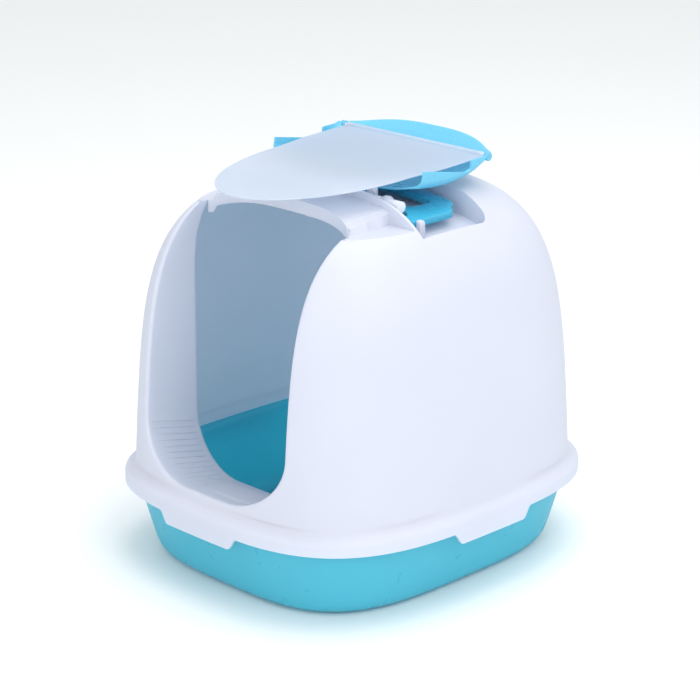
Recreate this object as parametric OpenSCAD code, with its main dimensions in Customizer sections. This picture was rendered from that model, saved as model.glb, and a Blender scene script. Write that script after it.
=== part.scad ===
// Hooded cat litter box: open tray, lift-off domed hood with an entrance tunnel,
// flip-back lid over the front of the roof, and a swinging flap door hung on the lid.
// Millimetres, +Z up, the entrance faces -Y. The origin is under the centre of the tray.
// The lid is drawn flipped back over the roof, with the flap lying in it.

/* [Overall] */
// Overall width across the hood rim
rim_w = 444; // [420:2:470]
// Overall length along the hood rim
rim_l = 490; // [470:2:520]
// Height of the hood's crown above the floor
crown_h = 445; // [435:1:455]
// Height of the underside of the hood rim
rim_z = 87; // [80:1:92]
// Squareness of the plan outline, where 2 is an ellipse
plan_power = 3.16; // [2.9:0.02:3.4]

/* [Tray] */
// Wall thickness of the tray
tray_t = 3; // [2.4:0.1:3.6]
// Inset of the tray wall from the rim at its top
tray_top_in = 18; // [16:1:20]
// Inset of the tray wall from the rim at its foot
tray_foot_in = 36; // [32:1:40]
// Height of the tray's own rim
tray_h = 98; // [96:0.5:98.5]

/* [Hood] */
// Wall thickness of the hood
hood_t = 3; // [2.4:0.1:3.4]
// Inset of the hood wall from the edge of its rim
flange_in = 10.8; // [9.5:0.1:12]
// How much the hood wall leans in from rim to crown, as a part of its width
hood_taper = 0.076; // [0.05:0.002:0.1]
// Half length of a snap tab where it leaves the rim
tab_half = 57; // [48:1:64]
// Drop of a snap tab under the rim
tab_drop = 14; // [10:0.5:16]

/* [Entrance] */
// Half width of the entrance tunnel
tunnel_half = 113; // [111:0.5:114]
// Height of the sill at the outer lip
sill_z = 119; // [114:1:124]
// Height of the sill at its inner end
sill_in_z = 97; // [94:1:100]
// Distance of the tunnel's inner end from the centre
tunnel_end = 139; // [134:0.5:144]
// Number of grip ribs on the tunnel floor
rib_count = 13; // [9:2:17]

/* [Lid and flap] */
// Thickness of the lid
lid_t = 2.5; // [2:0.1:3]
// Half width of the lid
lid_half = 119; // [118:0.5:120]
// Thickness of the flap door
flap_t = 1.8; // [1.4:0.1:2.4]
// Length of the flap door below its pins
flap_l = 283; // [270:1:285]
// Radius of the lid's hinge pins
hinge_r = 3; // [2.5:0.1:3.2]

/* [Handle] */
// Half width of the carry handle
handle_half = 130; // [126:1:132]
// Thickness of the carry handle
handle_t = 8; // [6:0.5:9]
// Radius of the carry bar
bar_r = 6.5; // [5.5:0.1:6.6]

/* [Hidden] */
seg = 48;
rw = rim_w / 2;
rl = rim_l / 2;
// The crown is a superellipse profile that starts below the floor.
foot_z = -150;
crown_p = 8.85;
side_p = 3.16;
ledge_z = 413;
seat_y = -50;
recess_y = -46.5;
band_half = 106;
hinge_y = -33;
hinge_z = 442;
open_deg = 190;
rest_z = 432.4;
bar_y = -34;
bar_z = 429.6;
pin_y = 98;
pin_z = 465;
flap_half = 110;
flap_tilt = 3;
door_pin_r = 2.6;

white = [0.90, 0.91, 0.95];
blue = [0.42, 0.78, 0.90];
frost = [0.86, 0.91, 0.95, 0.7];

function spow(v, p) = sign(v) * pow(abs(v), p);
// Points are kept to a hundredth of a millimetre.
function mm(v) = round(v * 100) / 100;
function ring(a, b, z, n) = [for (i = [0 : seg - 1]) let (t = 360 * i / seg)
    [mm(a * spow(cos(t), 2 / n)), mm(b * spow(sin(t), 2 / n)), mm(z)]];
function lean(z) = 1 - hood_taper * min(1, max(0, (z - 101.6) / 358.4));
function crown_q(z, h) = pow(max(0, 1 - pow((z - foot_z) / (h - foot_z), crown_p)), 1 / side_p);
function crown_z(q, h) = foot_z + (h - foot_z) * pow(1 - pow(q, side_p), 1 / crown_p);
// Rings of the hood's surface, set in by off, from z0 up to a point at the crown.
function wall_ring(z, q, off) = ring((rw - flange_in - off) * lean(z) * q,
    (rl - flange_in - off) * lean(z) * q, z, plan_power);
wall_zs = [118, 150, 190, 230, 265, 295];
crown_qs = [0.955, 0.925, 0.885, 0.84, 0.785, 0.72, 0.64, 0.54, 0.41, 0.24];
function dome_rings(off) = let (h = crown_h - off) concat(
    [for (z = wall_zs) wall_ring(z, crown_q(z, h), off)],
    [for (q = crown_qs) wall_ring(crown_z(q, h), q, off)]);
// Rim flange, outside and inside, from its lower edge up to the wall.
function rim_rings() = [ring(rw, rl, rim_z, plan_power), ring(rw, rl, rim_z + 10, plan_power),
    ring(rw - 0.9, rl - 0.9, rim_z + 13, plan_power),
    ring(rw - 3.6, rl - 3.6, rim_z + 16, plan_power),
    ring(rw - 7.6, rl - 7.6, rim_z + 18.5, plan_power),
    ring(rw - 10, rl - 10, rim_z + 22, plan_power),
    ring(rw - flange_in, rl - flange_in, rim_z + 27, plan_power)];
function rim_in_rings() = [ring(rw - 3, rl - 3, rim_z - 1, plan_power),
    ring(rw - 3, rl - 3, rim_z + 11, plan_power),
    ring(rw - 5.5, rl - 5.5, rim_z + 13.4, plan_power),
    ring(rw - flange_in - hood_t, rl - flange_in - hood_t, rim_z + 16, plan_power),
    ring(rw - flange_in - hood_t, rl - flange_in - hood_t, rim_z + 22, plan_power)];

// Solid through a list of equal rings, closed at both ends.
module loft(rs) {
    m = len(rs[0]);
    k = len(rs);
    pts = [for (r = rs) for (p = r) p];
    low = [for (i = [0 : m - 1]) i];
    top = [for (i = [m - 1 : -1 : 0]) (k - 1) * m + i];
    sides = [for (j = [0 : k - 2]) for (i = [0 : m - 1]) for (s = [0, 1])
        let (a = j * m + i, b = j * m + (i + 1) % m) s == 0 ? [a, b + m, b] : [a, a + m, b + m]];
    polyhedron(points = [for (p = pts) [mm(p[0]), mm(p[1]), mm(p[2])]],
        faces = concat([low], sides, [top]), convexity = 6);
}

// Raises or lowers everything above z0 by the factor k, to draw floors that follow the crown.
function pressed(rs, z0, k, drop = 0) = [for (r = rs) [for (p = r)
    [p[0], p[1], mm((p[2] < z0 ? p[2] : z0 + k * (p[2] - z0)) - drop)]]];

module dome(off) {
    loft(concat(off == 0 ? rim_rings() : rim_in_rings(), dome_rings(off)));
}

module slab(x, y0, y1, z0, z1) {
    translate([-x, y0, z0]) cube([2 * x, y1 - y0, z1 - z0]);
}

// Seat of the lid: an arched band between two flat ledges, in front of the ridge.
module seat_floor(drop) {
    intersection() {
        loft(pressed(dome_rings(0), ledge_z, 0.7, drop));
        slab(band_half - drop * 0.43, -300, 100, 0, 500);
    }
    slab(260, -300, 100, 60, ledge_z - drop);
}

module seat_cut(drop) {
    difference() {
        slab(260, -300, seat_y + drop, 350, 520);
        seat_floor(drop);
    }
}

// Recess of the handle, and the flat behind it where the open lid rests.
function recess_plan(g) = concat(
    [[-153 - g, recess_y - g], [153 + g, recess_y - g], [153 + g, 46]],
    [for (t = [15 : 15 : 90]) [139 + (14 + g) * cos(t), 46 + (14 + g) * sin(t)]],
    [for (t = [90 : 15 : 165]) [-139 + (14 + g) * cos(t), 46 + (14 + g) * sin(t)]],
    [[-153 - g, 46]]);

module recess_cut(drop) {
    difference() {
        translate([0, 0, 360]) linear_extrude(height = 140) polygon(recess_plan(drop));
        loft(pressed(dome_rings(0), 380, 0.45, drop));
    }
    slab(200, 52 - drop, 200, rest_z - drop, 520);
}

// Section of the entrance: straight sides over a rounded bottom.
function mouth(y, half, z0, rx, rz) = concat(
    [[half, y, 520]],
    [for (t = [0 : 9 : 90]) [half - rx + rx * cos(t), y, z0 + rz - rz * sin(t)]],
    [for (t = [90 : 9 : 180]) [-half + rx + rx * cos(t), y, z0 + rz - rz * sin(t)]],
    [[-half, y, 520]]);
function slope(y) = sill_in_z + (sill_z - sill_in_z) * (-tunnel_end - y) / (233 - tunnel_end);
function mouth_at(y, g) = mouth(y, tunnel_half + g, slope(y) - g,
    70 + g + 15 * (-tunnel_end - y) / 94, 70 + g);
module mouth_solid(y0, y1, g) {
    loft([mouth_at(y0, g), mouth_at(y1, g)]);
}
// Back edge of the opening in the roof, seen from above.
function arch_plan(g) = concat([[-tunnel_half - 20, -300], [tunnel_half + 20, -300],
    [tunnel_half + 20, -128]],
    [for (x = [125, 92, 60, 0, -60, -92, -125]) [x, mm(-97.6 + g - 30.3 * pow(abs(x) / 125, 3.5))]],
    [[-tunnel_half - 20, -128]]);

module opening() {
    mouth_solid(-290, -tunnel_end + 2, 0);
    intersection() {
        slab(tunnel_half, -300, 0, 330, 500);
        translate([0, 0, 300]) linear_extrude(height = 220) polygon(arch_plan(0));
    }
}

// Walls of the tunnel, the blocks beside its top corners and the lip under the arch.
module tunnel_wall() {
    mouth_solid(-290, -tunnel_end, hood_t);
    slab(lid_half + 5, -300, -123, 376, 500);
    difference() {
        translate([0, 0, 380]) linear_extrude(height = 120) intersection() {
            polygon(arch_plan(hood_t));
            translate([-tunnel_half - hood_t, -300]) square([2 * (tunnel_half + hood_t), 300]);
        }
        loft(pressed(dome_rings(0), ledge_z, 0.7, 15));
    }
}

// Room for the side walls of the closed lid, down both sides of the opening.
module lid_channels() {
    slab(lid_half + 1.3, -300, -125, 398, 500);
    slab(lid_half + 1.3, -300, -131, 378, 500);
    slab(lid_half + 1.3, -300, -115, 409, 500);
}

function floor_at(t, y) = let (rx = 70 + 15 * (-tunnel_end - y) / 94)
    [sign(cos(t)) * (tunnel_half - rx) + rx * cos(t), y, slope(y) + 70 - 70 * sin(t)];
function rib_end(t, y) = let (p = floor_at(t, y))
    [for (c = [[-0.8, -1.7], [-0.8, 1.3], [0.8, 1.3], [0.8, -1.7]])
        [p[0] + c[0] * sin(t) - c[1] * cos(t), y, p[2] + c[0] * cos(t) + c[1] * sin(t)]];
module rib(t) {
    loft([rib_end(t, -206), rib_end(t, -147)]);
}

module tab(turn, reach, half) {
    rotate([0, 0, turn]) translate([0, 1.2 - reach, rim_z - tab_drop]) rotate([90, 0, 0])
        mirror([0, 0, 1]) linear_extrude(height = 1.9)
            polygon([[-half, tab_drop + 6], [-half, tab_drop], [-half + 5, tab_drop * 0.45],
                [-half + 12, 1.6], [-half + 20, 0], [half - 20, 0], [half - 12, 1.6],
                [half - 5, tab_drop * 0.45], [half, tab_drop], [half, tab_drop + 6]]);
}

module hood_shell() {
    difference() {
        dome(0);
        difference() {
            dome(hood_t);
            seat_cut(hood_t);
            recess_cut(hood_t);
            tunnel_wall();
        }
        seat_cut(0);
        recess_cut(0);
        opening();
        lid_channels();
        for (s = [-1, 1]) translate([s * 52 - 7.2, -58.3, 433.2]) cube([14.4, 15, 20]);
        slab(62, -18, 44, 380, 430);
    }
    for (i = [0 : rib_count - 1]) rib(12 + 156 * i / (rib_count - 1));
}

module bracket(x, w, y, z, r, foot) {
    difference() {
        translate([x - w / 2, recess_y - 1.3, foot]) cube([w, y - recess_y + 3.8 + r, z - foot + 4]);
        translate([x - w, y, z]) rotate([0, 90, 0]) cylinder(r = r + 0.05, h = 2 * w, $fn = 24);
    }
}

module hood() {
    color(white) {
        hood_shell();
        for (k = [0 : 3]) tab(90 * k, k % 2 == 0 ? rl : rw, tab_half);
        for (s = [-1, 1]) {
            bracket(s * 86, 6, bar_y, bar_z, bar_r, 405.4);
            bracket(s * 62.7, 6, hinge_y, hinge_z, hinge_r, 436.1);
            translate([s * 62.7 - 2.7, recess_y - 1.1, 406.6]) cube([5.4, 6, 31.4]);
            translate([s * 134.2 - 3, -37, 389.3]) difference() {
                cube([6, 12, 30.7]);
                translate([-1, 6, 26.7]) rotate([0, 90, 0]) cylinder(r = 2.55, h = 10, $fn = 24);
            }
        }
    }
}

// Tray: one cup with a rounded foot, draughted walls and a rolled rim inside the hood's skirt.
module tray() {
    f = tray_foot_in;
    t = tray_top_in;
    n = plan_power + 0.3;
    k = (f - t) / 68;
    outs = [[f + 24, 0], [f + 15, 1.2], [f + 7, 4.6], [f + 2.2, 10], [f - 0.6, 18],
            [f - k * 22 - 0.6, 40], [t + 0.4, rim_z - 1], [t - 1, rim_z + 3], [t - 7, tray_h - 4],
            [t - 8.8, tray_h - 3], [t - 8.8, tray_h - 0.8], [t - 7.8, tray_h]];
    ins = [[t - 1, tray_h], [t + tray_t - 0.5, tray_h - 2], [t + tray_t + 0.4, rim_z],
           [f + tray_t - k * 22 - 0.6, 40], [f + tray_t - 0.6, 18], [f + tray_t + 2.5, 11.5],
           [f + tray_t + 7.5, 6.6], [f + tray_t + 15, 4]];
    color(blue) loft([for (p = concat(outs, ins))
        ring(rw - p[0], rl - p[0] * 0.94, p[1], n)]);
}

module carry_bar() {
    color(white) translate([-108, bar_y, bar_z]) rotate([0, 90, 0]) cylinder(r = bar_r, h = 216);
}

// Carry handle: an arched frame plate that bridges the recess.
function handle_z(x) = 430 - 11.5 * pow(abs(x) / 130, 2.2);
module handle() {
    top = [for (i = [-13 : 13]) let (x = handle_half * i / 13) [x, handle_z(x)]];
    low = [for (i = [13 : -1 : -13]) let (x = handle_half * i / 13) [x, handle_z(x) - handle_t]];
    color(blue) difference() {
        intersection() {
            translate([0, 60, 0]) rotate([90, 0, 0]) linear_extrude(height = 110) polygon(concat(top, low));
            translate([0, 0, 380]) linear_extrude(height = 70) difference() {
                union() {
                    translate([-handle_half, -25]) square([2 * handle_half, 58]);
                    translate([-handle_half + 14, -25]) square([2 * handle_half - 28, 72]);
                    for (s = [-1, 1]) {
                        translate([s * (handle_half - 14), 33]) circle(r = 14, $fn = 48);
                        translate([s * 121.5 - 8.5, -40]) square([17, 30]);
                    }
                }
                translate([-98, -12]) square([196, 38]);
                translate([-92, -18]) square([184, 50]);
                for (x = [-92, 92], y = [-12, 26]) translate([x, y]) circle(r = 6, $fn = 32);
            }
        }
        for (s = [-1, 1]) translate([s * 121.5 - 12, -31, 416]) rotate([0, 90, 0])
            cylinder(r = 2.55, h = 24, $fn = 32);
    }
}

module handle_pin(s) {
    color(blue) translate([s * 125 - 12, -31, 416]) rotate([0, 90, 0])
        cylinder(r = 2.5, h = 24, $fn = 32);
}
module handle_pin_left() { handle_pin(-1); }
module handle_pin_right() { handle_pin(1); }

module hinge_pin(s) {
    color(white) translate([s * 56 - 11, hinge_y, hinge_z]) rotate([0, 90, 0])
        cylinder(r = hinge_r, h = 22, $fn = 32);
}
module hinge_pin_left() { hinge_pin(-1); }
module hinge_pin_right() { hinge_pin(1); }

// Filter: slotted cover in the floor of the recess, pad and cassette under it.
module filter_cover() {
    color(blue) difference() {
        union() {
            slab(72, -24, 50, 410.6, 413.6);
            slab(60, -16, 42, 404, 411);
        }
        for (i = [-5 : 5]) translate([i * 10.4 - 2.6, -10, 400]) cube([5.2, 46, 20]);
    }
}
module filter_pad() {
    color([0.16, 0.17, 0.18]) slab(56, -14, 40, 393, 403);
}
module filter_cassette() {
    color(white) difference() {
        slab(62, -19, 46, 388, 403.6);
        slab(58, -15.5, 41.5, 391.5, 410);
        for (i = [-5 : 5]) translate([i * 10.2 - 2.6, -11, 380]) cube([5.2, 48, 20]);
    }
}
module filter_latch() {
    color(white) {
        slab(17, -58, -52, 401, 430.8);
        slab(17, -54, -19.4, 401, 405.6);
    }
}

// Lid, drawn shut over the opening and then swung back over the roof.
lid_y = -51.5;
lid_zp = 330;
lid_xs = [1, 1, 0.985, 0.94, 0.84, 0.7, 0.52, 0.33, 0.15];
function crown_in(x, y, z) = pow(pow(abs(x) / ((rw - flange_in) * lean(z)), plan_power)
    + pow(abs(y) / ((rl - flange_in) * lean(z)), plan_power), 1 / plan_power) - crown_q(z, crown_h);
// Distance from the lid's pivot line to the crown along a ray at the angle a.
function reach(x, a, lo, hi, n) = n == 0 ? (lo + hi) / 2 : let (m = (lo + hi) / 2)
    crown_in(x, lid_y + m * cos(a), lid_zp + m * sin(a)) < 0 ? reach(x, a, m, hi, n - 1)
    : reach(x, a, lo, m, n - 1);
function lid_end(u) = 160.8 - 12.5 * pow(u, 3);
function lid_foot(a, r) = a < 136 ? (ledge_z + 0.7 - lid_zp) / sin(a)
    : min((ledge_z + 0.7 - lid_zp) / sin(136), r - 12);
// One column of the lid: u runs 0 to 1 from the middle to the side, k is the place down the wall.
function lid_col(s, c, j, g) = let (u = lid_xs[c], x = s * (u * lid_half - (u > 0.9 ? g : 0)),
    a = 90 + (lid_end(u) - 90) * j / 16, r = reach(s * u * lid_half, a, 40, 190, 18),
    d = c == 0 ? r - lid_foot(a, r) : (c == 1 ? 2.2 + g : (c == 2 ? 0.5 + g : g)))
    [x, lid_y + (r - d) * cos(a), lid_zp + (r - d) * sin(a)];
function lid_row(j, g) = concat([for (c = [0 : 8]) lid_col(-1, c, j, g)],
    [for (c = [8 : -1 : 0]) lid_col(1, c, j, g)]);

// Closed shell between two equal grids of points.
module shell(outer, inner) {
    m = len(outer);
    k = len(outer[0]);
    pts = concat([for (r = outer) for (p = r) p], [for (r = inner) for (p = r) p]);
    h = m * k;
    tops = [for (j = [0 : m - 2]) for (i = [0 : k - 2]) for (s = [0, 1])
        let (a = j * k + i) s == 0 ? [a, a + 1, a + k + 1] : [a, a + k + 1, a + k]];
    lows = [for (t = tops) [t[0] + h, t[2] + h, t[1] + h]];
    ends = [for (j = [0, m - 1]) for (i = [0 : k - 2]) for (s = [0, 1])
        let (a = j * k + i, b = a + 1, f = j == 0)
        s == 0 ? (f ? [a, b + h, b] : [a, b, b + h]) : (f ? [a, a + h, b + h] : [a, b + h, a + h])];
    sides = [for (i = [0, k - 1]) for (j = [0 : m - 2]) for (s = [0, 1])
        let (a = j * k + i, b = a + k, f = i == 0)
        s == 0 ? (f ? [a, b, b + h] : [a, b + h, b]) : (f ? [a, b + h, a + h] : [a, a + h, b + h])];
    polyhedron(points = [for (p = pts) [mm(p[0]), mm(p[1]), mm(p[2])]],
        faces = concat(tops, lows, ends, sides), convexity = 6);
}

module lid_shut() {
    shell([for (j = [0 : 16]) lid_row(j, 0)], [for (j = [0 : 16]) lid_row(j, lid_t)]);
}

module lid() {
    color(blue) difference() {
        union() {
            translate([0, hinge_y, hinge_z]) rotate([-open_deg, 0, 0])
                translate([0, -hinge_y, -hinge_z]) lid_hinged();
            for (s = [-1, 1]) translate([s * 113.8 - 3, pin_y, pin_z]) rotate([0, 90, 0]) {
                cylinder(r = 5, h = 6, $fn = 48);
                translate([-1, -4, 0]) cube([14, 8, 6]);
            }
        }
        for (s = [-1, 1]) {
            translate([s * 112 - 8, pin_y, pin_z]) rotate([0, 90, 0])
                cylinder(r = door_pin_r + 0.08, h = 16, $fn = 48);
            translate([s * 100.4 - 10, pin_y, pin_z]) rotate([0, 90, 0])
                cylinder(r = 4.9, h = 20, $fn = 48);
        }
    }
}
module lid_hinged() {
    lid_shut();
    for (s = [-1, 1]) difference() {
        union() {
            translate([s * 52 - 5, hinge_y, hinge_z]) rotate([0, 90, 0])
                cylinder(r = 5, h = 10, $fn = 48);
            translate([s * 52 - 5, -58, hinge_z - 4.4]) cube([10, 25, 4.4]);
        }
        translate([s * 52 - 6, hinge_y, hinge_z]) rotate([0, 90, 0])
            cylinder(r = hinge_r + 0.08, h = 12, $fn = 48);
    }
}

module flap_pin(s) {
    color(frost) translate([s * 109 - 7.2, pin_y, pin_z]) rotate([0, 90, 0])
        cylinder(r = door_pin_r, h = 14.4, $fn = 32);
}
module flap_pin_left() { flap_pin(-1); }
module flap_pin_right() { flap_pin(1); }

// Flap door: a thin sheet with a rounded lower end and a rolled edge on the pin line.
function flap_plan() = concat([[-flap_half, -2], [flap_half, -2], [flap_half, -70],
    [flap_half - 3, -95]], [for (t = [0 : -6 : -180]) [(flap_half - 6) * cos(t),
    -118 + (flap_l - 118) * sin(t)]], [[3 - flap_half, -95], [-flap_half, -70]]);
module flap_door() {
    color(frost) translate([0, pin_y, pin_z]) rotate([flap_tilt, 0, 0]) difference() {
        union() {
            linear_extrude(height = flap_t) polygon(flap_plan());
            translate([-108, 0, 0]) rotate([0, 90, 0]) cylinder(r = 4, h = 216, $fn = 48);
        }
        for (s = [-1, 1]) translate([s * 107 - 6, 0, 0]) rotate([0, 90, 0])
            cylinder(r = door_pin_r + 0.08, h = 12, $fn = 48);
    }
}

tray();
hood();
carry_bar();
handle();
handle_pin_left();
handle_pin_right();
hinge_pin_left();
hinge_pin_right();
filter_cover();
filter_pad();
filter_cassette();
filter_latch();
lid();
flap_pin_left();
flap_pin_right();
flap_door();
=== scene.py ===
import math

import bmesh
import bpy
import numpy as np
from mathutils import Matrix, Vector
from mathutils.geometry import delaunay_2d_cdt

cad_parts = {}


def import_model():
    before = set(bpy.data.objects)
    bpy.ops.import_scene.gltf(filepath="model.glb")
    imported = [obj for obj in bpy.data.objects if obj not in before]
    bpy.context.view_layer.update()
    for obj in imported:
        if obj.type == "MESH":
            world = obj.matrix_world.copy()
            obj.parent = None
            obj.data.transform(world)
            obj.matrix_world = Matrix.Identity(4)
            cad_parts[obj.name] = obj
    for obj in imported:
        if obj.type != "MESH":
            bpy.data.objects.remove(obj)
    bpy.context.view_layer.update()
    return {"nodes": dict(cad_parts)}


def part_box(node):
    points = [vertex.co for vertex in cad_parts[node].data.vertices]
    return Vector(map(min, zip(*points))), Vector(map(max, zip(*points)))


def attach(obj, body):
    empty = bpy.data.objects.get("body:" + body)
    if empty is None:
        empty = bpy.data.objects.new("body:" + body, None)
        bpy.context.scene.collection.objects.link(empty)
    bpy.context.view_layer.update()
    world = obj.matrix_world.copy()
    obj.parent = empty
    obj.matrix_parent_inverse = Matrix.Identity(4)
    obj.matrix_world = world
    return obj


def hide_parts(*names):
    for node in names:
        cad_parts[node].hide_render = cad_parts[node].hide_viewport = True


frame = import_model()

# ------------------------------------------------------------------ design sizes, in millimetres
hood_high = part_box("hood")[1]
RIM_X = hood_high[0] * 1000
RIM_Y = hood_high[1] * 1000
POWER = 3.16            # squareness of the hood's outline

# the dome and its profile
CROWN = 445             # height of the crown
CROWN_FOOT = -150       # height at which the profile is widest, far under the rim
CROWN_POWER = 8.85      # how upright the profile stays before it rounds over
DRAFT = 0.076           # share by which the walls lean in
DRAFT_LOW = 101.6       # height at which they start to
DRAFT_RUN = 358.4       # height over which they do
SHELL = 3               # wall thickness
THIN_OUT = 260          # distance from the crown over which the inner face's drop fades to none
NEARLY = 0.999          # furthest out that the profile's height is worked out for

# the chart, which is the dome unrolled about its crown
CHART_HALF = 222        # half width that the profile's length is measured on
CHART_STEP = 7.0        # gap between the chart's points
ROOF_Q = 0.9            # share of the way out up to which the profile is followed by q
ROOF_STEPS = 200        # steps up to there
ROOF_CUT = 300          # points of the profile that are looked up by q
ROOF_FROM = 395         # height from which they are used
ROOF_Z = 430.0          # a height on the roof

# the rim
RIM_Z = 87              # underside of the hood's rim
RIM_POINTS = 960
WALL_FOOT = RIM_Z + 27  # where the dome ends
FLANGE = 10.8           # set-in of the wall from the rim's edge
TAB = (63, 13, 14)      # half width, run-out and drop of a snap tab

# the entrance
TUNNEL = 113            # half width of the tunnel
TUNNEL_END = -139.5     # its inner end
CORNER = 70             # radius of its lower corners
CORNER_GROWTH = 15      # how much wider they are towards the front
CORNER_RUN = 94         # distance over which they widen
SILL_Z = 97             # height of its floor at the inner end
SILL_RISE = 22          # how much higher the floor is at the front
SILL_FRONT = 233        # distance of that front from the middle
WALL_ROWS = (10, 26, 52)    # points over half the floor, a corner and a side
FILLET = 6              # rounding of the entrance's edge
WALL_ROUND = 1.1        # rounding of the tunnel's inner end
LEAST = 0.5             # least length of a strip
GRIP_Y = (-211, -149)   # front and back of the ridges on the floor
GRIP_WIDTH = 0.85       # half width of a ridge, in degrees of the corner
GRIP_HEIGHT = 1.3

# the lid's seat and the roof's front edge
LEDGE = 413             # flat ledges of the seat
BAND = 105.7            # half width of the raised band between the ledges
SEAT_SHARE = 0.7        # how closely the band follows the dome
SEAT_SPAN = 190         # half width that the ridge's lines are drawn over
RIDGE_Y = -50.3         # front of the ridge behind the seat
ARCH_Y = -97.6          # the front edge is an arch in plan: its y in the middle
ARCH_DEPTH = 30.3       # and how far forward it is at ARCH_HALF
ARCH_HALF = 125
ARCH_POWER = 3.5

# the handle's recess, the filter hole and the flat behind
RECESS = (153, -46.5, 60, 14)   # half width, front, back and corner radius
RECESS_Z = 380          # height that the recess's floor is pressed down towards
RECESS_SHARE = 0.45     # how closely it follows the dome
HOLE = (62, -19, 46)    # half width, front and back of the filter hole
REST = 432.4            # flat behind the recess, under the open lid
REST_FROM = 40          # y from which the dome is flattened to it

# lugs: inner and outer x, y and z of the pin, radius of the head, height of the foot
LUGS = (
    (83, 89, -34, 429.6, 9.2, 402),
    (60, 65.4, -33, 442, 6, 409),
    (131.2, 137.2, -31, 416, 4, 389),
)
LUG_SPLAY = 1.5         # how much wider a lug is at its foot

# the tray
TRAY_POWER = 3.46       # squareness of the tray's outline
TRAY_TOP = 98
TRAY_FLOOR = 4

# the lid
PIVOT = (-51.5, 330)    # y and z of the line that its angles are measured about
LID_HALF = 119          # half width
LID_FLAT = 112          # half width up to where its corner starts
LID_CORNER = 5          # height of that corner
LID_THICK = 2.5
LID_GAP = 0.7           # gap over the ledges
LID_END = 160.25        # angle of its front edge, from straight back
HINGE = (-33, 442)      # hinge line, y and z
OPEN = math.radians(190)

# the door
PIN = (98, 465)         # its pin line, y and z
DOOR_BEND = 118         # length of its straight part
DOOR_END = (104, 165)   # half width and length of the half ellipse after it
DOOR_TILT = math.radians(3)

# the handle
HANDLE_HALF = 130
HANDLE_THICK = 8
HANDLE_Z = 430          # top of its middle
HANDLE_FALL = 11.5      # how much lower its ends are
HANDLE_STEP = 3.2       # gap between its outlines' points

TRIM_PARTS = (
    "carry_bar", "handle_pin_left", "handle_pin_right", "hinge_pin_left", "hinge_pin_right",
    "filter_cassette", "filter_latch", "flap_pin_left", "flap_pin_right",
)


# ------------------------------------------------------------------ mesh helpers
class Skin:
    """Collects strips and patches in millimetres and makes one welded mesh of them."""

    def __init__(self):
        self.verts, self.faces = [], []

    def grid(self, rows, closed=False):
        """Quads between equal rows of points; closed joins each row's end to its start."""
        rows = np.asarray(rows, float)
        start, wide = len(self.verts), rows.shape[1]
        self.verts.extend(rows.reshape(-1, 3).tolist())
        for j in range(len(rows) - 1):
            for i in range(wide if closed else wide - 1):
                a, b = start + j * wide + i, start + j * wide + (i + 1) % wide
                self.faces.append((a, b, b + wide, a + wide))

    def patch(self, fill, outline, holes, place, creases=(), lines=()):
        """Triangles in a flat outline, with edges along its creases and lines, lifted by place."""
        flat, edges = [], []
        for loop in (outline, *holes, *creases):
            first = len(flat)
            flat.extend(map(tuple, loop))
            edges.extend((first + i, first + (i + 1) % len(loop)) for i in range(len(loop)))
        for line in lines:
            first = len(flat)
            flat.extend(map(tuple, line))
            edges.extend((first + i, first + i + 1) for i in range(len(line) - 1))
        flat.extend(map(tuple, fill))
        out, _, faces, *_ = delaunay_2d_cdt([Vector(p) for p in flat], edges, [], 0, 1e-5)
        out = np.array([tuple(p) for p in out])
        centres = np.array([out[list(f)].mean(0) for f in faces])
        keep = inside(centres, outline)
        for hole in holes:
            keep &= ~inside(centres, hole)
        start = len(self.verts)
        self.verts.extend(place(out).tolist())
        self.faces.extend(tuple(start + i for i in f) for f, k in zip(faces, keep) if k)

    def mesh(self, name, material):
        """The collected faces as a mesh, in metres."""
        made = bpy.data.meshes.new(name)
        made.from_pydata((np.array(self.verts) / 1000).tolist(), [], self.faces)
        made.materials.append(material)
        return made

    def piece(self, name, body, material, sharp=40, weld=0.02):
        """Welds the strips, smooths what isn't sharp, and makes a piece that rides on a body."""
        mesh = self.mesh(name, material)
        edit = bmesh.new()
        edit.from_mesh(mesh)
        bmesh.ops.remove_doubles(edit, verts=edit.verts, dist=weld / 1000)
        bmesh.ops.dissolve_degenerate(edit, dist=weld / 2000, edges=edit.edges)
        bmesh.ops.recalc_face_normals(edit, faces=edit.faces)
        edit.to_mesh(mesh)
        edit.free()
        mesh.shade_smooth()
        mesh.set_sharp_from_angle(angle=math.radians(sharp))
        made = show(name, mesh)
        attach(made, body)
        return made


def show(name, data):
    """Puts an object in the scene."""
    made = bpy.data.objects.new(name, data)
    bpy.context.scene.collection.objects.link(made)
    return made


def inside(points, loop):
    """Which points lie inside a closed outline."""
    loop = np.asarray(loop, float)
    x, y = points[:, 0], points[:, 1]
    hit = np.zeros(len(points), bool)
    for (x1, y1), (x2, y2) in zip(loop, np.roll(loop, -1, 0)):
        if y1 != y2:
            hit ^= ((y1 > y) != (y2 > y)) & (x < (x2 - x1) * (y - y1) / (y2 - y1) + x1)
    return hit


def clear_of(points, line, gap):
    """Which points lie further than gap from a line."""
    far = np.ones(len(points), bool)
    for a, b in zip(line[:-1], line[1:]):
        step = b - a
        t = np.clip(((points - a) @ step) / max(step @ step, 1e-12), 0, 1)
        far &= np.hypot(*(points - a - t[:, None] * step).T) > gap
    return far


def away(points, loop, gap):
    """Which points lie further than gap from a closed outline."""
    loop = np.asarray(loop, float)
    return clear_of(points, np.r_[loop, loop[:1]], gap)


def spread(points, count=None, gap=None):
    """A run of points put at even distances: count of them, or about gap apart."""
    points = np.asarray(points, float)
    length = np.r_[0, np.cumsum(np.linalg.norm(np.diff(points, axis=0), axis=1))]
    if count is None:
        count = max(2, int(round(length[-1] / gap)) + 1)
    places = np.linspace(0, length[-1], count)
    return np.stack([np.interp(places, length, column) for column in points.T], 1)


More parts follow.
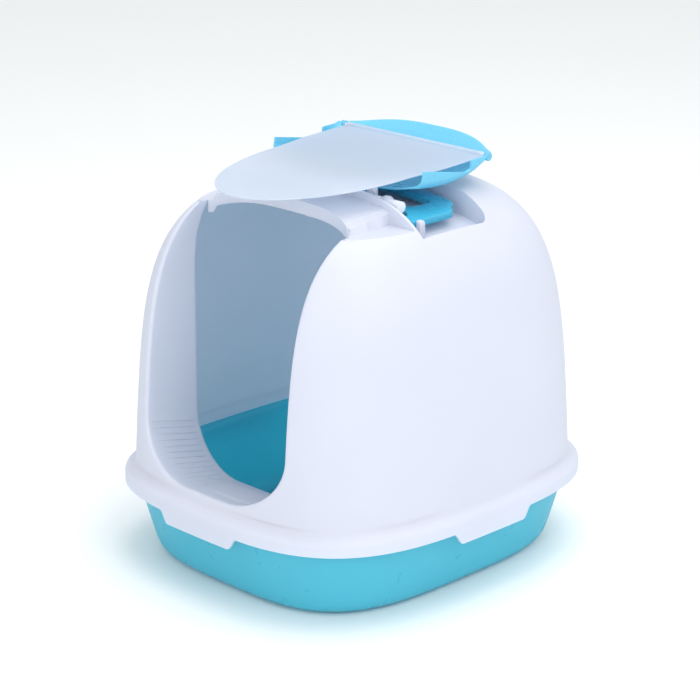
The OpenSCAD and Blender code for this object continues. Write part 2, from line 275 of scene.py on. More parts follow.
def closed_spread(points, gap):
    """The same round a closed outline, without its first point repeated."""
    points = list(map(tuple, points))
    return spread(points + points[:1], gap=gap)[:-1]


def bend(t, start, corner, end):
    """A point on a rounded corner, t from 0 at start to 1 at end."""
    return (1 - t) ** 2 * start + 2 * t * (1 - t) * corner + t * t * end


def ease_in(t):
    """A smooth step: 0 below 0, 1 above 1."""
    t = np.clip(t, 0, 1)
    return t * t * (3 - 2 * t)


def ring(a, b, z, power, count=192):
    """A rounded-square outline at height z."""
    turn = np.linspace(0, 2 * math.pi, count, endpoint=False)
    c, s = np.cos(turn), np.sin(turn)
    x = a * np.sign(c) * np.abs(c) ** (2 / power)
    y = b * np.sign(s) * np.abs(s) ** (2 / power)
    return np.stack([x, y, z + 0 * x], 1)


def turned(points, angle, about):
    """Points turned about a line along X; about is its y and z."""
    points = np.array(points, float)
    y, z = points[..., 1] - about[0], points[..., 2] - about[1]
    points[..., 1] = about[0] + y * math.cos(angle) - z * math.sin(angle)
    points[..., 2] = about[1] + y * math.sin(angle) + z * math.cos(angle)
    return points


def rod(skin, y, z, radius, x0, x1, count=28, bevel=0.8):
    """A round bar along X with softened ends."""
    x0, x1 = min(x0, x1), max(x0, x1)
    turn = np.linspace(0, 2 * math.pi, count, endpoint=False)
    end = [(0, 0.02), (0, radius - bevel), (bevel * 0.3, radius - bevel * 0.3), (bevel, radius)]
    places = [(x0 + d, r) for d, r in end]
    places += [(x0 + (x1 - x0) / 2, radius)]
    places += [(x1 - d, r) for d, r in end[::-1]]
    rows = [np.stack([x + 0 * turn, y + r * np.cos(turn), z + r * np.sin(turn)], 1) for x, r in places]
    skin.grid(rows, closed=True)


def plate(skin, outline, x0, x1, bevel=0.7):
    """A flat part cut from an outline in the y-z plane, with softened edges."""
    x0, x1 = min(x0, x1), max(x0, x1)
    outline = np.asarray(outline, float)
    centre = outline.mean(0)
    reach = np.abs(outline - centre).max()
    small = centre + (outline - centre) * (1 - bevel / reach)
    dot = centre + (outline - centre) * 0.01
    end = [(0, dot), (0, small), (bevel * 0.3, (small + 2 * outline) / 3), (bevel, outline)]
    places = [(x0 + d, loop) for d, loop in end] + [(x1 - d, loop) for d, loop in end[::-1]]
    skin.grid([np.c_[np.full(len(loop), x), loop] for x, loop in places], closed=True)


# ------------------------------------------------------------------ the dome
def lean(z):
    """The walls' draft: how much narrower the hood is at height z than at its foot."""
    return 1 - DRAFT * np.clip((np.asarray(z, float) - DRAFT_LOW) / DRAFT_RUN, 0, 1)


def crown_q(z, off=0):
    """The dome's profile: how far out it is at height z, off millimetres in from its surface."""
    rise = np.clip((np.asarray(z, float) - CROWN_FOOT) / (CROWN - off - CROWN_FOOT), 0, None)
    return np.clip(1 - rise ** CROWN_POWER, 0, None) ** (1 / POWER)


def crown_z(q, off=0):
    """The dome's profile the other way: its height at q of the way out."""
    rise = (1 - np.asarray(q, float) ** POWER) ** (1 / CROWN_POWER)
    return CROWN_FOOT + (CROWN - off - CROWN_FOOT) * rise


def level(x, y, off=0):
    """How far out a point is on its level's outline: 1 at the wall where the wall is upright."""
    z = np.full(np.shape(x), ROOF_Z)
    for _ in range(6):
        reach = (np.abs(x) / ((RIM_X - FLANGE - off) * lean(z))) ** POWER
        reach = (reach + (np.abs(y) / ((RIM_Y - FLANGE - off) * lean(z))) ** POWER) ** (1 / POWER)
        z = crown_z(np.minimum(reach, NEARLY), off)
    return reach


def roof(x, y, off=0):
    """The dome's height over a point of the plan."""
    return crown_z(np.minimum(level(x, y, off), NEARLY), off)


def front(x, z, off=0):
    """The dome's y on the entrance side, at x and z."""
    rest = crown_q(z, off) ** POWER - (np.abs(x) / ((RIM_X - FLANGE - off) * lean(z))) ** POWER
    return -(RIM_Y - FLANGE - off) * lean(z) * np.clip(rest, 0, None) ** (1 / POWER)


# the dome's profile from the crown down to the wall's foot, and the length s along it
roof_q = np.linspace(0, ROOF_Q, ROOF_STEPS)
wall_z = np.linspace(float(crown_z(ROOF_Q)), WALL_FOOT, 300)
profile_q = np.r_[roof_q, crown_q(wall_z)[1:]]
profile_z = np.r_[crown_z(roof_q), wall_z[1:]]
profile_r = CHART_HALF * profile_q * lean(profile_z)
profile_s = np.r_[0, np.cumsum(np.hypot(np.diff(profile_r), np.diff(profile_z)))]


def on_dome(flat, off=0):
    """Chart to space: the chart is the dome unrolled about its crown, in millimetres."""
    s, turn = np.hypot(flat[:, 0], flat[:, 1]), np.arctan2(flat[:, 1], flat[:, 0])
    z, q = np.interp(s, profile_s, profile_z), np.interp(s, profile_s, profile_q)
    wide = (np.abs(np.cos(turn)) ** POWER + np.abs(np.sin(turn)) ** POWER) ** (-1 / POWER)
    x = (RIM_X - FLANGE - off) * lean(z) * q * wide * np.cos(turn)
    y = (RIM_Y - FLANGE - off) * lean(z) * q * wide * np.sin(turn)
    z = z - off * np.clip(1 - s / THIN_OUT, 0, 1)
    return np.stack([x, y, np.where(y > REST_FROM, np.minimum(z, REST - off), z)], 1)


def in_chart(places):
    """Space to chart, for places on the dome."""
    x, y, z = np.asarray(places, float).T
    turn = np.arctan2(y / (RIM_Y - FLANGE), x / (RIM_X - FLANGE))
    high = np.interp(level(x, y), profile_q[:ROOF_CUT], profile_s[:ROOF_CUT])
    low = np.interp(-z, -profile_z, profile_s)
    s = np.where(z > ROOF_FROM, high, low)
    return np.stack([s * np.cos(turn), s * np.sin(turn)], 1)


def plan_chart(points):
    """Chart places of points given in plan, on the roof."""
    points = np.asarray(points, float)
    return in_chart(np.c_[points, np.full(len(points), ROOF_Z)])


# ------------------------------------------------------------------ the entrance and the seat
def sill(y):
    """Height of the tunnel's floor, which rises towards the front."""
    return SILL_Z + SILL_RISE * (TUNNEL_END - y) / (SILL_FRONT + TUNNEL_END)


def corner_x(y):
    """Width of the tunnel's lower corners, which grows towards the front."""
    return CORNER + CORNER_GROWTH * (TUNNEL_END - y) / CORNER_RUN


def section(y, grow=0.0):
    """The right half of the tunnel's outline at y (one y per point), sill middle to ledge."""
    floor, corner, side = WALL_ROWS
    rx = corner_x(y) + grow
    rz = CORNER + grow
    share = np.linspace(0, 1, floor, endpoint=False)
    turns = np.radians(np.linspace(90, 0, corner))
    rise = np.linspace(0, 1, side + 1)[1:]
    a, b = floor, floor + corner
    half = TUNNEL + grow
    x = np.r_[share * (half - rx[:a]), half - rx[a:b] + rx[a:b] * np.cos(turns), 0 * rise + half]
    low = sill(y) - grow
    bend_z = low[a:b] + rz - rz * np.sin(turns)
    z = np.r_[low[:a], bend_z, low[b:] + rz + rise * (LEDGE - low[b:] - rz)]
    return np.stack([x, y, z], 1)


def lip_y(grow, off=0):
    """Where the tunnel's outline meets the dome, for every point of the section."""
    low, high = np.full(sum(WALL_ROWS), -260.0), np.full(sum(WALL_ROWS), -100.0)
    for _ in range(34):
        mid = (low + high) / 2
        place = section(mid, grow)
        behind = mid > front(place[:, 0], place[:, 2], off)
        high, low = np.where(behind, mid, high), np.where(behind, low, mid)
    return (low + high) / 2


def wall_end(z):
    """The y at which the tunnel's side walls end inside the hood, at height z."""
    return np.interp(z, [0, 345, 376, 398, 412], [-141, -141, -137.5, -129, -119.5])


def arch(x, grow=0.0):
    """The y of the roof's front edge, an arch in plan."""
    return ARCH_Y + grow - ARCH_DEPTH * (np.abs(x) / ARCH_HALF) ** ARCH_POWER


def seat(x, y):
    """Height of the lid's seat: an arched band between flat ledges."""
    band = LEDGE + SEAT_SHARE * (roof(x, y) - LEDGE)
    return np.where(np.abs(x) < BAND, band, LEDGE)


def mirror(rows):
    """A right half with its mirror image before it."""
    rows = np.asarray(rows)
    return np.concatenate([(rows * (-1, 1, 1))[::-1][:-1], rows])


# ------------------------------------------------------------------ procedural materials
def noise(made, scale, detail):
    """A noise texture in the object's own coordinates."""
    nodes, links = made.node_tree.nodes, made.node_tree.links
    found = nodes.new("ShaderNodeTexNoise")
    found.inputs["Scale"].default_value = scale
    found.inputs["Detail"].default_value = detail
    links.new(nodes["Where"].outputs["Object"], found.inputs["Vector"])
    return found.outputs["Fac"]


def tint(made, colour, drift):
    """Colour that drifts slightly over the part."""
    nodes, links = made.node_tree.nodes, made.node_tree.links
    ramp = nodes.new("ShaderNodeValToRGB")
    low, high = ramp.color_ramp.elements
    low.position = 0.15
    high.position = 0.85
    low.color = (*(c * (1 - drift) for c in colour), 1)
    high.color = (*(min(1, c * (1 + drift)) for c in colour), 1)
    links.new(noise(made, 9, 1), ramp.inputs["Fac"])
    links.new(ramp.outputs["Color"], nodes["Principled BSDF"].inputs["Base Color"])


def gloss(made, rough, scuff):
    """Uneven gloss, with a little handling wear."""
    nodes, links = made.node_tree.nodes, made.node_tree.links
    remap = nodes.new("ShaderNodeMapRange")
    remap.inputs["From Min"].default_value = 0.15
    remap.inputs["From Max"].default_value = 0.85
    remap.inputs["To Min"].default_value = rough - 0.07
    remap.inputs["To Max"].default_value = rough + 0.08 + scuff
    links.new(noise(made, 38, 2), remap.inputs["Value"])
    links.new(remap.outputs["Result"], nodes["Principled BSDF"].inputs["Roughness"])


def bump(made, scale, detail, strength, distance):
    """A bump node on noise, for grain or for the moulding's slow waves."""
    nodes, links = made.node_tree.nodes, made.node_tree.links
    found = nodes.new("ShaderNodeBump")
    found.inputs["Strength"].default_value = strength
    found.inputs["Distance"].default_value = distance
    links.new(noise(made, scale, detail), found.inputs["Height"])
    return found


def glow(made, share, colour):
    """Lets some light through the wall."""
    nodes, links = made.node_tree.nodes, made.node_tree.links
    through = nodes.new("ShaderNodeBsdfTranslucent")
    through.inputs["Color"].default_value = (*colour, 1)
    both = nodes.new("ShaderNodeMixShader")
    both.inputs["Fac"].default_value = share
    links.new(nodes["Principled BSDF"].outputs["BSDF"], both.inputs[1])
    links.new(through.outputs["BSDF"], both.inputs[2])
    links.new(both.outputs["Shader"], nodes["Material Output"].inputs["Surface"])


def plastic(name, colour, rough, grain=0.12, alpha=1.0, scuff=0.0, drift=0.02, sheer=0.0, through=None):
    """Moulded plastic: slight tint drift, uneven gloss and fine grain; sheer lets light through."""
    made = bpy.data.materials.new(name)
    made.use_nodes = True
    nodes, links = made.node_tree.nodes, made.node_tree.links
    shader = nodes["Principled BSDF"]
    nodes.new("ShaderNodeTexCoord").name = "Where"
    tint(made, colour, drift)
    gloss(made, rough, scuff)
    fine = bump(made, 900, 2, grain, 0.0004)
    wave = bump(made, 14, 1, 0.05, 0.003)
    links.new(wave.outputs["Normal"], fine.inputs["Normal"])
    links.new(fine.outputs["Normal"], shader.inputs["Normal"])
    shader.inputs["IOR"].default_value = 1.49
    shader.inputs["Alpha"].default_value = alpha
    if sheer:
        glow(made, sheer, through or colour)
    return made


def hood_white():
    colour, through = (0.875, 0.85, 0.925), (0.70, 0.87, 0.97)
    return plastic("hood_white", colour, 0.38, sheer=0.36, through=through)


def trim_white():
    return plastic("trim_white", (0.84, 0.85, 0.92), 0.32)


def tray_blue():
    colour, through = (0.13, 0.67, 0.82), (0.14, 0.8, 0.9)
    return plastic("tray_blue", colour, 0.3, scuff=0.03, sheer=0.42, through=through)


def handle_blue():
    return plastic("handle_blue", (0.05, 0.41, 0.62), 0.28)


def lid_blue():
    colour, through = (0.25, 0.71, 0.9), (0.3, 0.78, 0.95)
    return plastic("lid_blue", colour, 0.28, sheer=0.4, through=through)


def flap_frost():
    return plastic("flap_frost", (0.76, 0.82, 0.90), 0.5, alpha=0.74, sheer=0.45)


def filter_carbon():
    return plastic("filter_carbon", (0.025, 0.026, 0.028), 0.85, grain=0.6)


def filter_grey():
    return plastic("filter_grey", (0.70, 0.72, 0.78), 0.42)


def floor_white():
    return plastic("floor_white", (0.94, 0.965, 0.97), 0.6, grain=0.01, drift=0.002)


# ------------------------------------------------------------------ hood
def hood_wall(skin):
    """Rounded edge of the entrance, tunnel wall, its inner end and its outside."""
    meet = lip_y(0)
    outer, corner = section(lip_y(FILLET), FILLET), section(meet)
    inner = section(meet + FILLET)
    rows = [mirror(outer)]
    rows += [mirror(bend(t, outer, corner, inner)) for t in np.linspace(0, 1, 9)[1:]]
    end = wall_end(corner[:, 2])
    for t in np.linspace(0, 1, 22)[1:]:
        rows.append(mirror(section(meet + FILLET + t * np.maximum(end - meet - FILLET, LEAST))))
    last = np.maximum(end, meet + FILLET + LEAST)
    rows += [mirror(section(last + WALL_ROUND, grow)) for grow in (0.8, 2.2)]
    back = np.minimum(lip_y(SHELL, SHELL), last - LEAST)
    for t in np.linspace(0, 1, 8):
        rows.append(mirror(section(last + t * (back - last), SHELL)))
    skin.grid(rows)
    return outer


def recess_loop(grow=0.0):
    """Plan outline of the handle's recess."""
    half, front_y, back_y, radius = RECESS
    half, front_y, back_y = half + grow, front_y - grow, back_y + grow
    turns = np.radians(np.linspace(0, 90, 9))
    corner_y = back_y - radius + radius * np.sin(turns)
    right = np.stack([half - radius + radius * np.cos(turns), corner_y], 1)
    side = spread([(half, front_y), right[0]], gap=6)[:-1]
    back = spread([right[-1], (-right[-1][0], right[-1][1])], gap=6)[1:-1]
    along = spread([(-half, front_y), (half, front_y)], gap=6)[1:-1]
    return np.r_[side, right, back, (right * (-1, 1))[::-1], (side * (-1, 1))[::-1], along]


def floor_z(x, y):
    """Height of the recess's floor, which follows the dome more gently."""
    return RECESS_Z + RECESS_SHARE * (roof(x, y) - RECESS_Z)


def hole_loop():
    """Plan outline of the filter hole in the recess's floor."""
    half, front_y, back_y = HOLE
    return closed_spread([(half, front_y), (half, back_y), (-half, back_y), (-half, front_y)], 5)


def lifted(flat, off):
    """The dome with the seat, the ledges and the handle recess pressed into it."""
    x, y, z = on_dome(flat, off).T
    in_recess = inside(np.stack([x, y], 1), recess_loop(off + 0.1))
    in_seat = (y < RIDGE_Y + off - 0.1) & (z > LEDGE - off - 0.02)
    z = np.where(in_seat, np.minimum(z, seat(x, y) - off), z)
    z = np.where(in_recess, floor_z(x, y) - off, z)
    return np.stack([x, y, z], 1)


def opening_loop(edge, off):
    """Chart outline of the cut in the dome: the entrance's edge and the arch of the roof's front."""
    half = TUNNEL + off
    arch_x = np.linspace(half, 0, 28)
    stem = spread([(half, edge[-1][1] + 0.5), (half, arch(half, off))], gap=5)
    plan = np.r_[stem, np.stack([arch_x, arch(arch_x, off)], 1)[1:]]
    right = np.r_[in_chart(edge), plan_chart(plan)]
    return np.r_[right, (right * (-1, 1))[::-1][1:-1]]


def seat_lines(edge, off):
    """Chart lines where the seat bends: the ridge's front, the band's sides, the ledges' ends."""
    seat_s = float(np.interp(-(LEDGE - off), -profile_z, profile_s))
    ridge = RIDGE_Y + off
    lines = []
    for y in (ridge, ridge - 0.25):
        xs = np.linspace(-SEAT_SPAN, SEAT_SPAN, 90)
        chart = plan_chart(np.stack([xs, y + 0 * xs], 1))
        lines.append(chart[np.hypot(*chart.T) < seat_s + 0.01])
    for side in (-1, 1):
        for x in (BAND, BAND + 0.3):
            ys = np.linspace(ridge - 0.4, arch(x, off), 14)
            lines.append(plan_chart(np.stack([side * x + 0 * ys, ys], 1)))
    first, last = np.arctan2(*lines[1][-1][::-1]), np.arctan2(*in_chart(edge)[-1][::-1])
    arc = np.linspace(first, last, 40)
    for side in (-1, 1):
        lines.append(np.stack([side * seat_s * np.cos(arc), seat_s * np.sin(arc)], 1))
    return lines


def chart_points(limit):
    """Staggered rings of points about the chart's middle."""
    s, points = CHART_STEP, [(0.0, 0.0)]
    while s < limit - CHART_STEP * 0.6:
        count = int(2 * math.pi * s / CHART_STEP)
        turn = (np.arange(count) + 0.5 * (int(s / CHART_STEP) % 2)) * 2 * math.pi / count
        points.extend(zip(s * np.cos(turn), s * np.sin(turn)))
        s += CHART_STEP
    return np.array(points)


def hood_roof(skin, off, edge):
    """The dome's surface, off millimetres in, round the entrance and the filter hole."""
    limit = profile_s[-1]
    turns = np.radians(np.arange(0, 360, 1.5))
    rim = np.stack([limit * np.cos(turns), limit * np.sin(turns)], 1)
    opening, gap = opening_loop(edge, off), plan_chart(hole_loop())
    creases = [plan_chart(recess_loop(off + step)) for step in (0.25, -0.05)]
    lines = seat_lines(edge, off)
    fill = chart_points(limit)
    keep = ~inside(fill, opening) & away(fill, opening, 3.5)
    keep &= ~inside(fill, gap) & away(fill, gap, 2.5)
    for crease in creases:
        keep &= away(fill, crease, 1.8)
    for line in lines:
        keep &= clear_of(fill, line, 1.8)
    skin.patch(fill[keep], rim, [opening, gap], lambda flat: lifted(flat, off), creases, lines)


def roof_edge(skin):
    """The lip that hangs down under the roof's front edge."""
    xs = np.linspace(-TUNNEL, TUNNEL, 55)
    top = seat(xs, arch(xs))
    profile = [(0, 0), (0, 1), (0, 8), (0, 13.5), (0.5, 14.6)]
    profile += [(1.5, 15), (2.5, 14.6), (SHELL, 13.5), (SHELL, SHELL)]
    skin.grid([np.stack([xs, arch(xs, back), top - drop], 1) for back, drop in profile])


def filter_hole(skin):
    """The wall of the filter hole, through the recess's floor."""
    loop = hole_loop()
    z = floor_z(loop[:, 0], loop[:, 1])
    skin.grid([np.c_[loop, z], np.c_[loop, z - SHELL]], closed=True)


def hood_rim(skin):
    """The hood's foot: wall, rounded step, rim, and a snap tab in the middle of each side."""
    half, ease, drop = TAB
    profile = [(FLANGE, 111.5), (10.6, 109.5), (9.4, 107), (7.6, 105.5), (3.6, 103), (1, 100.4)]
    profile += [(0, 97), (0, RIM_Z), (3, RIM_Z), (3, 98), (5.5, 100.4), (13.8, 103), (13.8, 111.5)]
    turn = np.linspace(0, 2 * math.pi, RIM_POINTS, endpoint=False)
    s = profile_s[-1]
    chart = np.stack([s * np.cos(turn), s * np.sin(turn)], 1)
    rows = [on_dome(chart)]
    for inset, z in profile:
        loop = ring(RIM_X - inset, RIM_Y - inset, z, POWER, RIM_POINTS)
        if z <= RIM_Z:
            near = np.minimum(np.abs(loop[:, 0]), np.abs(loop[:, 1]))
            loop[:, 2] -= drop * ease_in((half - near) / ease)
        rows.append(loop)
    rows.append(on_dome(chart, SHELL))
    skin.grid(rows, closed=True)


def grip_ridges(skin):
    """Fine ridges on the tunnel's floor that wipe the cat's paws."""
    near, far = GRIP_Y
    across = np.linspace(-1, 1, 7)
    for turn in np.radians(np.linspace(10, 170, 27)):
        angle = turn + np.radians(across) * GRIP_WIDTH
        c, s = np.cos(angle), np.sin(angle)
        rows = []
        for y in np.linspace(near, far, 12):
            ease = min(1, (y - near + 0.5) / 5, (far + 0.5 - y) / 5)
            height = GRIP_HEIGHT * max(ease, 0.05) * (1 - across ** 2)
            wide = corner_x(y)
            x = np.copysign(TUNNEL - wide, c) + (wide - height) * c
            z = sill(y) + CORNER - (CORNER - height) * s
            rows.append(np.stack([x, y + 0 * x, z], 1))
        skin.grid(rows)


def brackets(skin):
    """Lugs that hold the carrying bar, the lid's hinge pins and the handle's pins."""
    turn = np.radians(np.linspace(-10, 190, 16))
    for side in (-1, 1):
        for x0, x1, y, z, radius, foot in LUGS:
            head = [(y + radius * math.cos(t), z + radius * math.sin(t)) for t in turn]
            outline = [(y + radius + LUG_SPLAY, foot), *head, (y - radius - LUG_SPLAY, foot)]
            plate(skin, closed_spread(outline, 1.6), side * x0, side * x1)


def fittings(material):
    """What is moulded on the hood's surface, as a piece of its own."""
    skin = Skin()
    grip_ridges(skin)
    brackets(skin)
    skin.piece("HoodFittings", "hood", material, sharp=40)


def hood():
    """The hood's shell: outside, inside, entrance, filter hole and rim."""
    white = hood_white()
    skin = Skin()
    edge = hood_wall(skin)
    hood_roof(skin, 0, edge)
    hood_roof(skin, SHELL, section(lip_y(SHELL, SHELL), SHELL))
    roof_edge(skin)
    filter_hole(skin)
    hood_rim(skin)
    made = skin.piece("Hood", "hood", white, sharp=38, weld=0.06)
    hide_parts("hood")
    fittings(white)


# ------------------------------------------------------------------ tray
def smooth_profile(points, gap):
    """A rounded run through (inset, height) pairs."""
    points = np.asarray(points, float)
    for _ in range(2):
        a, b = points[:-1], points[1:]
        cut = np.stack([0.75 * a + 0.25 * b, 0.25 * a + 0.75 * b], 1).reshape(-1, 2)
        points = np.r_[points[:1], cut, points[-1:]]
    return spread(points, gap=gap)


def tray():
    """The open tray: foot, drafted wall, rolled rim, and its inside down to the floor."""
    outside = [(60, 0), (51, 1.2), (43, 4.6), (38.2, 10), (35.4, 18), (29.6, 40), (18.4, 86)]
    outside += [(17, 90), (11, 94), (9.6, 95), (9.2, 96), (9.2, 97.2), (10.2, TRAY_TOP)]
    within = [(17, TRAY_TOP), (20.5, 96), (21.4, 87), (32.6, 40), (38.4, 18), (41.5, 11.5)]
    within += [(46.5, 6.6), (54, TRAY_FLOOR)]
    run = np.r_[smooth_profile(outside, 3), smooth_profile(within, 4)]
    run[:, 1] = np.clip(run[:, 1], 0, TRAY_TOP)
    rows = [ring(RIM_X - i, RIM_Y - 0.94 * i, z, TRAY_POWER) for i, z in run]
    shares = (0, 0.1, 0.3, 0.6, 0.9)
    under = [ring((RIM_X - 60) * k, (RIM_Y - 56) * k, 0, TRAY_POWER) for k in shares]
    floor = [ring((RIM_X - 54) * k, (RIM_Y - 51) * k, TRAY_FLOOR, TRAY_POWER) for k in shares]
    skin = Skin()
    skin.grid(under + rows + floor[::-1], closed=True)
    made = skin.piece("Tray", "tray", tray_blue(), sharp=55)
    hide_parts("tray")


# ------------------------------------------------------------------ lid
def lid_reach(x, turn):
    """How far the dome is from the lid's pivot line, at x and at an angle from straight back."""
    low, high = np.full(x.shape, 20.0), np.full(x.shape, 220.0)
    for _ in range(32):
        mid = (low + high) / 2
        y, z = PIVOT[0] + mid * np.cos(turn), PIVOT[1] + mid * np.sin(turn)
        outside = level(x, y) > np.where(z < CROWN, crown_q(np.minimum(z, CROWN - 1e-3)), 0)
        high, low = np.where(outside, mid, high), np.where(outside, low, mid)
    return (low + high) / 2


def lid_foot(turn, reach):
    """How far from the pivot line the side wall's free edge is.

    It lies level over the ledges, then eases over about 134 degrees to follow the dome 12 mm
    short of it, and runs up to 8 mm further out at the front corner.
    """
    degrees = np.degrees(turn)
    ledge = (LEDGE + LID_GAP - PIVOT[1]) / np.sin(np.minimum(turn, math.radians(136)))
    ease = ease_in((degrees - 131) / 6)
    end = 8 * np.clip((degrees - 138) / 9, 0, 1)
    return ledge * (1 - ease) + np.minimum(ledge + end, reach - 12 + end) * ease


def lid_point(x, turn, reach):
    """A place at an angle and a distance from the pivot line."""
    return np.array([x, PIVOT[0] + reach * math.cos(turn), PIVOT[1] + reach * math.sin(turn)])


def lid_side(side, inset, turn, reach):
    """One side wall of a row of the lid, from its free edge round the corner to the top."""
    edge, over = (0, 3) if side < 0 else (-1, -4)
    angle, top = turn[edge], reach[edge] - inset
    foot = min(lid_foot(angle, reach[edge]), top - 1)
    wall = side * (LID_HALF - inset)
    run = []
    if top - foot > LID_CORNER + 1:
        height = top - LID_CORNER - foot
        run = [lid_point(wall, angle, foot + height * t) for t in (0, 0.35, 0.7)]
    start = lid_point(wall, angle, max(foot, top - LID_CORNER))
    corner = lid_point(wall, angle, top)
    end = lid_point(side * (LID_FLAT - inset), turn[over], reach[over] - inset)
    run += [bend(t, start, corner, end) for t in np.linspace(0, 1, 8)]
    return spread(run, count=14)


def lid_row(x, turn, reach):
    """One row round the lid: its outside from left to right, then its inside back again."""
    loops = []
    for inset in (0, LID_THICK):
        top = [lid_point(x[i], turn[i], reach[i] - inset) for i in range(5, len(x) - 5)]
        left, right = (lid_side(side, inset, turn, reach) for side in (-1, 1))
        loops.append(np.r_[left, top, right[::-1]])
    return np.r_[loops[0], loops[1][::-1]]


def rounded_end(edge, next_row):
    """Three rows that close the gap between the lid's outside and its inside."""
    out = edge - next_row
    out /= np.maximum(np.linalg.norm(out, axis=1)[:, None], 1e-9)
    across = edge[::-1] - edge
    return [edge + across * k + out * d for k, d in ((0.12, 0.6), (0.3, 0.95), (0.5, 1.1))]


def clip(skin, side):
    """The lid's clip round the door's pin."""
    turn = np.radians(np.arange(0, 360, 12))
    outline = np.stack([PIN[0] + 4.9 * np.cos(turn), PIN[1] + 4.9 * np.sin(turn)], 1)
    plate(skin, outline, side * 110.8, side * 116.8)


def knuckle(skin, side):
    """The lid's knuckle on its hinge pin."""
    rod(skin, *HINGE, 4.9, side * 47.1, side * 56.9)


def lid():
    """The lid drawn shut along the dome, closed round its rim, then swung open."""
    u, v = np.meshgrid(np.linspace(-1, 1, 61), np.linspace(0, 1, 64))
    x = u * LID_HALF
    turn = np.radians(90 + v * (LID_END - 12.5 * np.abs(u) ** 3 - 90))
    rows = [lid_row(*row) for row in zip(x, turn, lid_reach(x, turn))]
    whole = rounded_end(rows[0], rows[1])[::-1] + rows + rounded_end(rows[-1], rows[-2])
    skin = Skin()
    skin.grid(turned(whole, -OPEN, HINGE), closed=True)
    for side in (-1, 1):
        clip(skin, side)
        knuckle(skin, side)
    made = skin.piece("Lid", "lid", lid_blue(), sharp=50)
    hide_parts("lid")


# ------------------------------------------------------------------ door
def door():
    """The frosted door: rolled top edge, straight sides, a long half ellipse at the bottom."""
    end_half, end_long = DOOR_END
    tip = end_long * np.sin(np.linspace(0, math.pi / 2, 40))[1:]
    down = np.r_[np.linspace(4, DOOR_BEND, 24), DOOR_BEND + tip]
    half = np.interp(down, [0, 70, 95, DOOR_BEND], [110, 110, 107, end_half])
    low = down > DOOR_BEND
    half[low] = end_half * np.sqrt(np.clip(1 - ((down[low] - DOOR_BEND) / end_long) ** 2, 0, 1))
    across = np.linspace(-1, 1, 49)
    x = across * np.maximum(half, 0.5)[:, None]
    y = PIN[0] - down[:, None] + 0 * x
    half_thick = 0.9 - 0.5 * np.abs(across) ** 40 + 0 * x
    top = np.stack([x, y, PIN[1] + half_thick], -1)
    under = np.stack([x, y, PIN[1] - half_thick], -1)
    skin = Skin()
    whole = np.concatenate([top, under[:, ::-1]], 1)
    skin.grid(turned(whole, DOOR_TILT, PIN), closed=True)
    rod(skin, *PIN, 4, -108, 108, count=24)
    made = skin.piece("FlapDoor", "flap", flap_frost(), sharp=50)
    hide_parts("flap_door")


# ------------------------------------------------------------------ handle
def handle_outline():
    """Plan outline of the handle: a grip with an ear at each end that takes its pin."""
    ear, front_y, ear_back, back = 113, -39, 33, 47
    turns = np.radians(np.linspace(0, 90, 10))
    right = [(ear, -30), (ear, front_y), (HANDLE_HALF, front_y), (HANDLE_HALF, 20)]
    right += [(HANDLE_HALF - 14 + 14 * math.cos(t), ear_back - 14 + 14 * math.sin(t)) for t in turns]
    right += [(ear + 1, ear_back)]
    right += [(ear - 7 + 8 * math.cos(t), back - 8 + 8 * math.sin(t)) for t in turns]
    right += [(60, back), (0, back)]
    left = [(-x, y) for x, y in right[::-1][1:]]
    low = [(x, -25) for x in (-107, -60, 0, 60, 107)]
    return closed_spread(right + left + low, HANDLE_STEP)


def grip_hole():
    """Plan outline of the hole that the fingers go through."""
    half, front_y, back_y, radius = 98, -12, 26, 9
    turns = np.radians(np.linspace(0, 90, 8))
    right, high, low = half - radius, back_y - radius, front_y + radius
    loop = []
    for quarter, (x, y) in enumerate(((right, high), (-right, high), (-right, low), (right, low))):
        for angle in math.radians(90 * quarter) + turns:
            loop.append((x + radius * math.cos(angle), y + radius * math.sin(angle)))
    return closed_spread(loop, HANDLE_STEP)


def on_handle(flat, depth):
    """Points of the plan put under the handle's upper face, which falls towards its ends."""
    top = HANDLE_Z - HANDLE_FALL * (np.abs(flat[:, 0]) / HANDLE_HALF) ** 2.2
    return np.c_[flat, top - depth]


def handle_wall(loop, sign):
    """Rows down a rounded edge of the handle; sign is -1 round the hole."""
    before, after = np.roll(loop, 1, 0), np.roll(loop, -1, 0)
    along = after - before
    normal = np.stack([along[:, 1], -along[:, 0]], 1)
    normal /= np.maximum(np.linalg.norm(normal, axis=1)[:, None], 1e-9)
    area = np.sum(loop[:, 0] * after[:, 1] - after[:, 0] * loop[:, 1])
    outward = normal * math.copysign(sign, area * sign)
    down = [(1.6, 0), (0.8, 0.25), (0.25, 0.8), (0, 1.6)]
    down += [(inset, HANDLE_THICK - depth) for inset, depth in down[::-1]]
    return [on_handle(loop - outward * inset, depth) for inset, depth in down]


def handle():
    """The carry handle: rounded walls round its outline and its hole, and both faces."""
    skin = Skin()
    outer, inner = handle_wall(handle_outline(), 1), handle_wall(grip_hole(), -1)
    skin.grid(outer, closed=True)
    skin.grid(inner, closed=True)
    xs, ys = np.meshgrid(np.arange(-126, 127, 6), np.arange(-22, 46, 6))
    spots = np.stack([xs, ys], -1).reshape(-1, 2).astype(float)
    for row, depth in ((0, 0), (-1, HANDLE_THICK)):
        rim, gap = outer[row][:, :2], inner[row][:, :2]
        keep = inside(spots, rim) & away(spots, rim, 2.5)
        keep &= ~inside(spots, gap) & away(spots, gap, 2.5)
        skin.patch(spots[keep], rim, [gap], lambda flat: on_handle(flat, depth))
    made = skin.piece("Handle", "hood", handle_blue(), sharp=60, weld=0.05)
    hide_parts("handle")


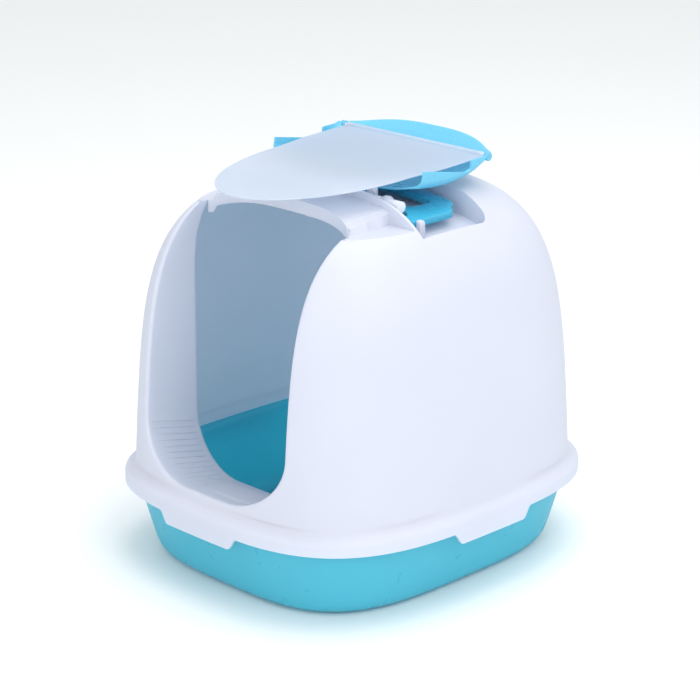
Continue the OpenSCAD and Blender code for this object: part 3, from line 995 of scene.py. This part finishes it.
# ------------------------------------------------------------------ fittings that keep their CAD shape
def plain_parts():
    """The bar, the pins and the filter parts take these finishes."""
    trim = trim_white()
    looks = dict.fromkeys(TRIM_PARTS, trim)
    looks["filter_cover"] = filter_grey()
    looks["filter_pad"] = filter_carbon()
    for name, material in looks.items():
        shown = frame["nodes"][name]
        shown.data.materials.clear()
        shown.data.materials.append(material)


# ------------------------------------------------------------------ camera, light and floor, in metres
def aimed(name, data, place, aim):
    """An object at a place, turned to look at another."""
    made = show(name, data)
    made.location = place
    made.rotation_euler = (Vector(aim) - Vector(place)).to_track_quat("-Z", "Y").to_euler()
    return made


def camera():
    """Looks from the place that the photograph was taken from."""
    data = bpy.data.cameras.new("Camera")
    data.lens = 118.3
    data.sensor_width = 36
    data.clip_end = 50
    place, aim = (1.78608, -1.77757, 1.06986), (-0.002745, -0.002767, 0.233083)
    bpy.context.scene.camera = aimed("Camera", data, place, aim)


def lamp(name, place, aim, size, power, colour=(1, 1, 1)):
    """A soft square lamp."""
    data = bpy.data.lights.new(name, "AREA")
    data.size = size
    data.energy = power
    data.color = colour
    aimed(name, data, place, aim)


def world():
    """White surroundings."""
    made = bpy.data.worlds.new("Studio")
    bpy.context.scene.world = made
    made.use_nodes = True
    back = made.node_tree.nodes["Background"]
    back.inputs["Color"].default_value = (1, 1, 1, 1)
    back.inputs["Strength"].default_value = 0.84


def ground():
    """A white floor that the part stands on."""
    skin = Skin()
    line = np.linspace(-6000, 6000, 25)
    skin.grid([[(x, y, 0) for x in line] for y in line])
    floor = show("Floor", skin.mesh("Floor", floor_white()))


def studio():
    """White surroundings, three soft lamps and a white floor."""
    world()
    lamp("Key", (2.2, -0.7, 1.9), (0, 0, 0.2), 1.6, 17)
    lamp("Top", (0.3, 0.4, 2.8), (0, 0, 0), 2.2, 34)
    lamp("Fill", (1.0, -2.4, 1.1), (-0.02, -0.1, 0.2), 0.9, 9, (0.95, 0.98, 1))
    bpy.context.scene.view_settings.view_transform = "Standard"
    ground()


camera()
studio()
plain_parts()
tray()
lid()
door()
handle()
hood()
